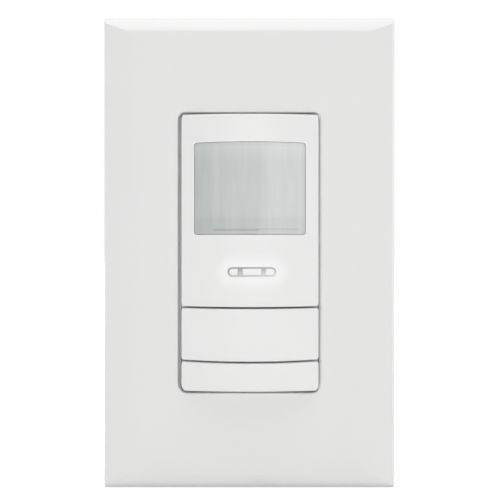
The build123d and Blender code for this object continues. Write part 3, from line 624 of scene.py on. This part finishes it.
def window_painted_glow(tree, place):
    """Level of the painted glow on the narrow walls of the lens window."""
    level = WINDOW_PAINTED_GLOW
    for axis, index in (("X", 0), ("Z", 2)):
        low = LENS_LOW[index]
        high = LENS_HIGH[index]
        away = maths(tree, "ABSOLUTE", maths(tree, "SUBTRACT", place[axis], (low + high) / 2))
        beside = maths(tree, "LESS_THAN", away, (high - low) / 2 - WINDOW_INSET)
        level = maths(tree, "MULTIPLY", beside, level)
    return level


def slot_painted_light(made):
    """Painted glow of the housing round the slot, and the painted shade of the bed and ribs inside it."""
    tree = made.node_tree
    place = add(tree, "ShaderNodeSeparateXYZ", ((0, own_place(tree)),)).outputs
    aside = maths(tree, "SUBTRACT", place["X"], SLOT_MIDDLE[0])
    above = maths(tree, "SUBTRACT", place["Z"], SLOT_MIDDLE[2])
    past = maths(tree, "SUBTRACT", maths(tree, "ABSOLUTE", aside), SLOT_HALF_LENGTH)
    across = maths(tree, "MAXIMUM", past, 0.0)
    offset = add(tree, "ShaderNodeCombineXYZ", ((0, across), (1, above))).outputs[0]
    away = add(tree, "ShaderNodeVectorMath", ((0, offset),), operation="LENGTH").outputs["Value"]
    # Painted glow round the slot, fading outwards, plus the painted glow on the walls of the lens window.
    near = remapped(tree, away, SLOT_RADIUS, PAINTED_GLOW_REACH, 1.0, 0.0, "SMOOTHSTEP")
    outside = maths(tree, "GREATER_THAN", away, SLOT_RADIUS)
    glow = maths(tree, "ADD", maths(tree, "MULTIPLY", near, outside), window_painted_glow(tree, place))
    tree.links.new(glow, tree.nodes["Principled BSDF"].inputs["Emission Color"])
    # Painted shade of the bed and ribs in the slot: darker towards its top and its left.
    lit = maths(tree, "SUBTRACT", above, maths(tree, "MULTIPLY", aside, SLOT_BED_SHADE_SLANT))
    bed = remapped(tree, lit, -SLOT_RADIUS, SLOT_RADIUS, SLOT_BED_SHADE_LOW, SLOT_BED_SHADE_HIGH)
    links = ((0, outside), (6, bed), (7, (*DEVICE_WHITE, 1.0)))
    colour = add(tree, "ShaderNodeMix", links, data_type="RGBA").outputs[2]
    tree.links.new(colour, tree.nodes["pattern"].inputs["Colour"])


slot_painted_light(hood_white)
dress(hood_white, "front_housing")

# Buttons.
# Two caps of the same white plastic as the front housing, hinged on pins near their upper edges.
device_white = material("device_white", **DEVICE_FINISH)
dress(device_white, "upper_button", "lower_button")

# Mounting strap.
# Zinc plated steel sheet, punched out, with one tab bent to the rear for the ground wire. It
# lies between the two housings.
zinc = material("zinc_sheet", METAL, (0.62, 0.63, 0.64), 0.28, {"Stretch": (1.0, 1.0, 0.03)}, Metallic=1.0)
dress(zinc, "mounting_strap")

# Ground screw.
# Steel screw in the strap's tab, with the green lacquer that marks the ground terminal.
green = material("green_lacquer", METAL, (0.03, 0.28, 0.09), 0.3, Metallic=0.4, Coat_Weight=0.7)
threaded("ground_screw", 0, green)

# Housing screws.
# Thin steel screws with a cross recess, deep in the columns of the rear housing. They hold it,
# the strap and the front housing together.
HOUSING_SCREW_RADIUS = 1.25 * MM
HOUSING_SCREW_PITCH = 0.9 * MM
screw_zinc = material("screw_zinc", METAL, (0.58, 0.58, 0.57), 0.22, {"Stretch": (0.1, 1.0, 1.0)},
                      Metallic=1.0)
threaded("housing_screws", 1, screw_zinc, HOUSING_SCREW_RADIUS, HOUSING_SCREW_PITCH)

# Box screws.
# Two long steel screws with a plain neck behind the head and a common thread, which go through
# the strap into the lugs of the wall box.
NECK = 1.3 * MM
threaded("box_screws", 1, screw_zinc, neck=NECK)

# Subframe behind the cover.
# White plastic like the cover's, but left with the plain tool finish, screwed to the strap. It and the cover
# have a painted glow on the walls of the gap beside the device, which lifts the shade there.
COVER_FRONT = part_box("wall_plate_cover")[0][1]
OPENING_MIDDLE = -0.15 * MM
OPENING_HALF_WIDTH = 16.93 * MM
OPENING_HALF_HEIGHT = 33.3 * MM
GAP_WIDTH = 0.6 * MM
WALL_MARGIN = 0.02 * MM
GAP_TOP = 0.2 * MM
GAP_FADE = 0.5 * MM
GAP_FLOOR = -2.7 * MM
GAP_LEFT_LEVEL = 0.33
PLATE_PAINTED_GLOW = 0.28
frame_white = material("frame_white", MOULDED, (0.80, 0.80, 0.79), 0.5, {"Depth": 0.03 * MM},
                       Emission_Strength=PLATE_PAINTED_GLOW)


def gap_painted_light_group():
    """Level of the painted glow on the white walls of the gap beside the device.

    It lies on both walls of the opening, from a little behind the cover's front down to the floor of
    the gap, and is stronger on the right.
    """
    tree = shader_group("gap_painted_light", (), (("Level", "NodeSocketFloat"),))
    place = add(tree, "ShaderNodeSeparateXYZ", ((0, own_place(tree)),)).outputs
    across = maths(tree, "SUBTRACT", place["X"], OPENING_MIDDLE)
    edge = maths(tree, "SUBTRACT", maths(tree, "ABSOLUTE", across), OPENING_HALF_WIDTH)
    beside = maths(tree, "GREATER_THAN", edge, -GAP_WIDTH)
    inside = maths(tree, "LESS_THAN", edge, WALL_MARGIN)
    upright = maths(tree, "LESS_THAN", maths(tree, "ABSOLUTE", place["Z"]), OPENING_HALF_HEIGHT)
    shallow = maths(tree, "LESS_THAN", place["Y"], GAP_FLOOR)
    deep = remapped(tree, place["Y"], COVER_FRONT + GAP_TOP, COVER_FRONT + GAP_TOP + GAP_FADE)
    level = remapped(tree, across, -OPENING_HALF_WIDTH, OPENING_HALF_WIDTH, GAP_LEFT_LEVEL)
    for limit in (beside, inside, upright, shallow, deep):
        level = maths(tree, "MULTIPLY", level, limit)
    give_out(tree, Level=level)
    return tree


GAP_PAINTED_LIGHT = gap_painted_light_group()


def gap_painted_glow(made):
    """The painted light in the gap, as a faint painted glow of the white plastic there."""
    tree = made.node_tree
    level = add(tree, "ShaderNodeGroup", node_tree=GAP_PAINTED_LIGHT).outputs["Level"]
    tree.links.new(level, tree.nodes["Principled BSDF"].inputs["Emission Color"])


gap_painted_glow(frame_white)
dress(frame_white, "plate_subframe")

# Screws of the subframe.
# White lacquered steel screws with a countersunk head, a straight slot and the wall box thread.
lacquer_white = material("lacquer_white", METAL, (0.78, 0.78, 0.77), 0.25, Coat_Weight=0.6)
threaded("subframe_screws", 1, lacquer_white)

# Wall plate cover.
# White moulded plastic with a fine even grain, clipped over the subframe. It is a little
# greyer than the device, its outer edges roll softly and the edge of its opening is rounded.
RIM_ROUND = 0.35 * MM
RIM_SEGMENTS = 4
RIM_MARGIN = 0.05 * MM
FRONT_MARGIN = 0.005 * MM
FLAT_ANGLE = radians(0.5)
SAME_PLACE = 0.002 * MM
COVER_PATTERN = {"Grain": 5000.0, "Depth": 0.012 * MM}
# Its emission holds the painted glow on the walls of the gap.
cover_white = material("cover_white", MOULDED, (0.80, 0.80, 0.795), 0.42, COVER_PATTERN,
                       Specular_IOR_Level=0.4, Emission_Strength=PLATE_PAINTED_GLOW)


def in_front(vert):
    """True for a corner on the flat front of the cover."""
    return vert.co.y < COVER_FRONT + FRONT_MARGIN


def in_opening(vert):
    """True for a corner on the walls or the rim of the cover's opening."""
    across = abs(vert.co.x - OPENING_MIDDLE) - OPENING_HALF_WIDTH
    return across < RIM_MARGIN and abs(vert.co.z) - OPENING_HALF_HEIGHT < RIM_MARGIN


def kept_normals(copy, rounded, source):
    """Normal of every corner: the source's own, or at the new round that of the faces beside it."""
    tree = KDTree(len(source.loops))
    for corner in source.loops:
        tree.insert(source.vertices[corner.vertex_index].co, corner.index)
    tree.balance()
    flats = [face.normal.copy() for face in source.polygons for _ in face.loop_indices]
    shaded = [corner.vector.copy() for corner in source.corner_normals]
    normals = []
    for face in copy.faces:
        for corner in face.loops:
            same = [index for _, index, _ in tree.find_range(corner.vert.co, SAME_PLACE)]
            if same:
                normals.append(shaded[max(same, key=lambda index: flats[index].dot(face.normal))])
                continue
            linked = corner.vert.link_faces
            beside = [other for other in linked if other not in rounded] or linked
            normals.append(sum((other.normal for other in beside), Vector()).normalized())
    return normals


def rounded_cover():
    """The cover with the edge of its opening rounded, as it leaves the mould."""
    node = "wall_plate_cover"
    copy = merged(node)
    flat = {face for face in copy.faces if all(map(in_front, face.verts)) or all(map(in_opening, face.verts))}
    seams = [edge for edge in copy.edges if flat.issuperset(edge.link_faces)]
    bmesh.ops.dissolve_limit(copy, angle_limit=FLAT_ANGLE, verts=[], edges=seams)
    rim = [edge for edge in copy.edges if all(in_front(vert) and in_opening(vert) for vert in edge.verts)]
    made = bmesh.ops.bevel(
        copy,
        geom=rim,
        offset=RIM_ROUND,
        segments=RIM_SEGMENTS,
        profile=0.5,
        affect="EDGES",
    )
    copy.normal_update()
    for face in copy.faces:
        face.smooth = True
    normals = kept_normals(copy, set(made["faces"]), nodes[node].data)
    cover = finished(node + "_rounded", copy, cover_white, "cover", node)
    cover.data.normals_split_custom_set(normals)


# The cover carries the same painted glow on its walls in the gap.
gap_painted_glow(cover_white)
rounded_cover()

# Ground, light and camera.
# The floor is pure white to the camera away from the object's shadow. A lamp above shades the
# plate softly from top to bottom, and rim lamps level with it brighten its edges.
FLOOR_Z = cad_bounds[0][2]
FLOOR_SIZE = 6.0
FLOOR_GLOW = 0.05
FLOOR_NEAR_LEVEL = 0.5
SHADOW_REACH = 0.1
SHADOW_END = 0.6
SKY_LEVEL = 0.4


def seen_rays(tree):
    """1 for what the camera sees, straight, mirrored or through glass, and 0 for other rays."""
    path = add(tree, "ShaderNodeLightPath").outputs
    mirrored = maths(tree, "MAXIMUM", path["Is Glossy Ray"], path["Is Transmission Ray"])
    return maths(tree, "MAXIMUM", path["Is Camera Ray"], mirrored)


def white_floor():
    """White floor: a plain light of its own, plus the light that falls on it."""
    made = bpy.data.materials.new("floor_white")
    made.use_nodes = True
    tree = made.node_tree
    surface = tree.nodes["Principled BSDF"]
    surface.inputs["Base Color"].default_value = (0.9, 0.9, 0.9, 1.0)
    surface.inputs["Roughness"].default_value = 1.0
    surface.inputs["Emission Strength"].default_value = 1.0
    away = add(tree, "ShaderNodeVectorMath", ((0, own_place(tree)),), operation="LENGTH").outputs["Value"]
    level = remapped(tree, away, SHADOW_REACH, SHADOW_END, FLOOR_NEAR_LEVEL)
    seen = maths(tree, "MULTIPLY", level, seen_rays(tree))
    tree.links.new(maths(tree, "MAXIMUM", seen, FLOOR_GLOW), surface.inputs["Emission Color"])
    return made


bpy.ops.mesh.primitive_plane_add(size=FLOOR_SIZE, location=(0, 0, FLOOR_Z))
floor = bpy.context.object
floor.name = "floor"
floor.data.materials.append(white_floor())

world = bpy.data.worlds.new("surround")
bpy.context.scene.world = world
world.use_nodes = True
sky = world.node_tree
bpy.context.scene.view_settings.view_transform = "Standard"
ground = sky.nodes["Background"]
ground.inputs["Color"].default_value = (1.0, 1.0, 1.0, 1.0)
sky.links.new(maths(sky, "MAXIMUM", seen_rays(sky), SKY_LEVEL), ground.inputs["Strength"])

LAMP_SIZE = 0.6
LAMP_AIM = Vector((0, 0, 0))
for name, place, power in (
    ("front", (0, -0.9, 0), 3.0),
    ("above", (0, -0.3, 0.9), 2.5),
    ("right", (0.8, -0.45, 0), 0.3),
    ("left_rim", (-0.9, 0.1, 0), 1.8),
    ("right_rim", (0.9, 0.1, 0), 2.6),
    ("top_rim", (0, 0.1, 0.9), 2.2),
):
    light = bpy.data.lights.new(name, "AREA")
    light.size = LAMP_SIZE
    light.energy = power
    stand = bpy.data.objects.new(name, light)
    stand.location = place
    stand.rotation_euler = (LAMP_AIM - Vector(place)).to_track_quat("-Z", "Y").to_euler()
    bpy.context.collection.objects.link(stand)

CAMERA_PLACE = (0.12 * MM, -170 * MM, 0.52 * MM)
CAMERA_LENS = 49.65
SENSOR_WIDTH = 36.0
NEAR_LIMIT = 0.01
camera = bpy.data.objects.new("camera", bpy.data.cameras.new("camera"))
camera.location = CAMERA_PLACE
camera.rotation_euler = (radians(90), 0, 0)
camera.data.lens = CAMERA_LENS
camera.data.sensor_width = SENSOR_WIDTH
camera.data.clip_start = NEAR_LIMIT
bpy.context.collection.objects.link(camera)
bpy.context.scene.camera = camera
